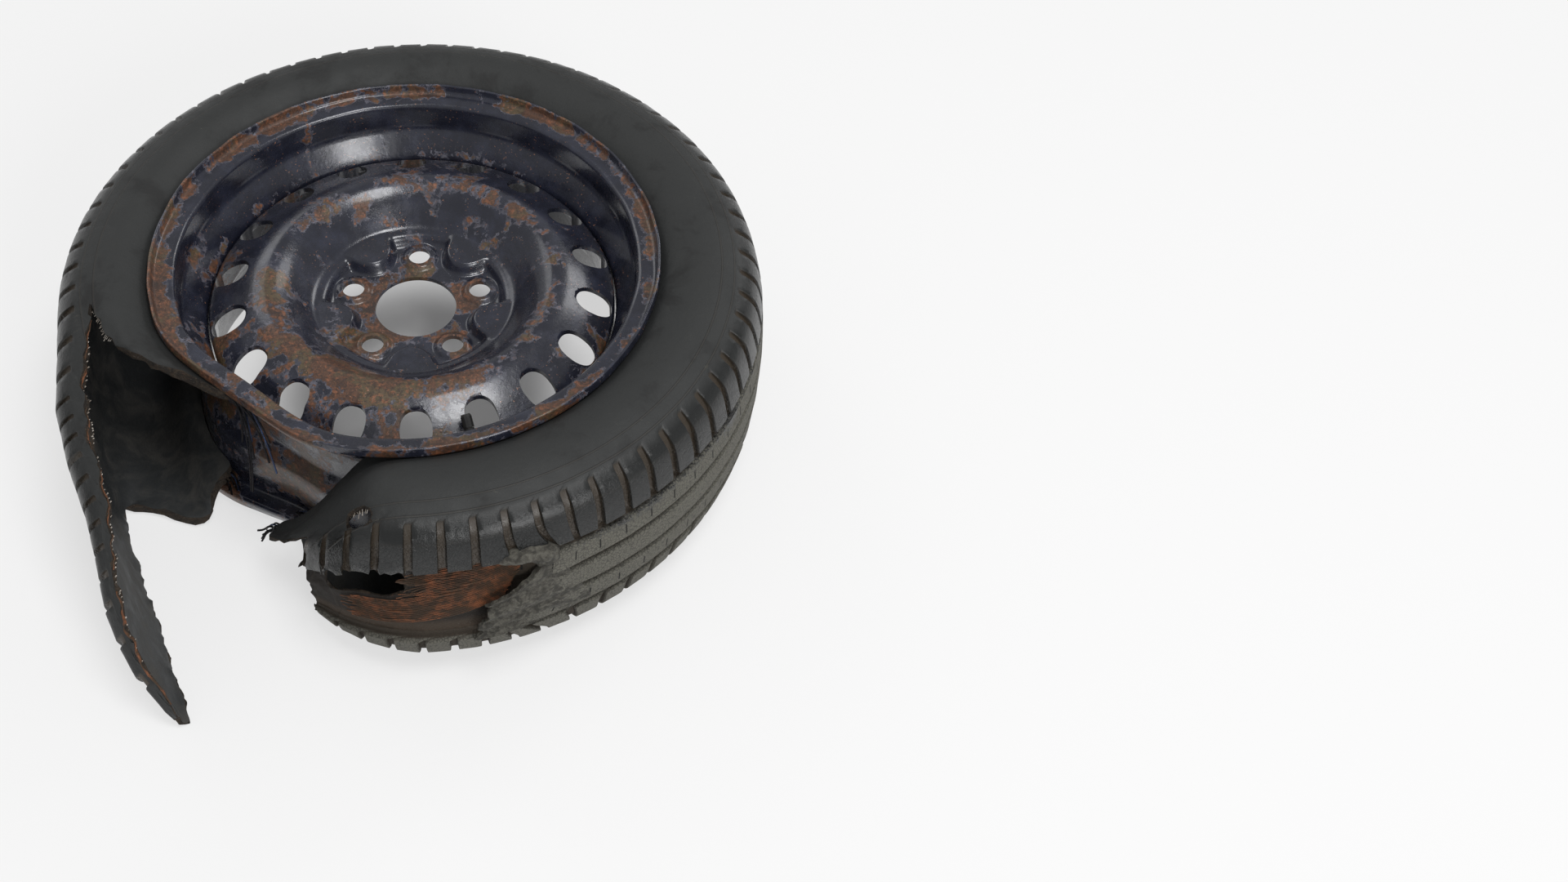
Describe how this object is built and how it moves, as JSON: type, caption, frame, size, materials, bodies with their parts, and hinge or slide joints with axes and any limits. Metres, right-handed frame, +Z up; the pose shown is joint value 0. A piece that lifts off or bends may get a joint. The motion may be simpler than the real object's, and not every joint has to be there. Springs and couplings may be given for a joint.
{
  "type": "burst car wheel",
  "caption": "Rusty steel car wheel lying flat, its rim bent by a blow and its flat tyre burst open, with a strip of tread torn loose.",
  "frame": {"origin": "middle of the footprint on the floor, which lies about 25 mm in front of the wheel's axis because the torn strip reaches forward", "axes": "+Z up along the wheel's axis, the outer face of the wheel up; -Y toward the burst side and the torn strip"},
  "size_m": [0.5826, 0.6216, 0.1899],
  "materials": {
    "tyre_rubber": "matt, dusty, torn",
    "rim_paint": "worn gloss paint with rust",
    "disc_paint": "worn gloss paint with rust",
    "cord_rust": "rusty cord",
    "bead_wire": "dark wire",
    "valve_rubber": "matt",
    "valve_metal": "dull",
    "valve_cap": "matt"
  },
  "bodies": {
    "root": {"tyre": "tyre_rubber", "rim": "rim_paint", "disc": "disc_paint", "belt_cords": "cord_rust", "bead_wires_right_upper": "bead_wire", "bead_wires_right_lower": "bead_wire", "bead_wires_left_upper": "bead_wire", "bead_wires_left_lower": "bead_wire", "valve_rubber": "valve_rubber", "valve_stem": "valve_metal", "valve_cap": "valve_cap"}
  },
  "joints": []
}
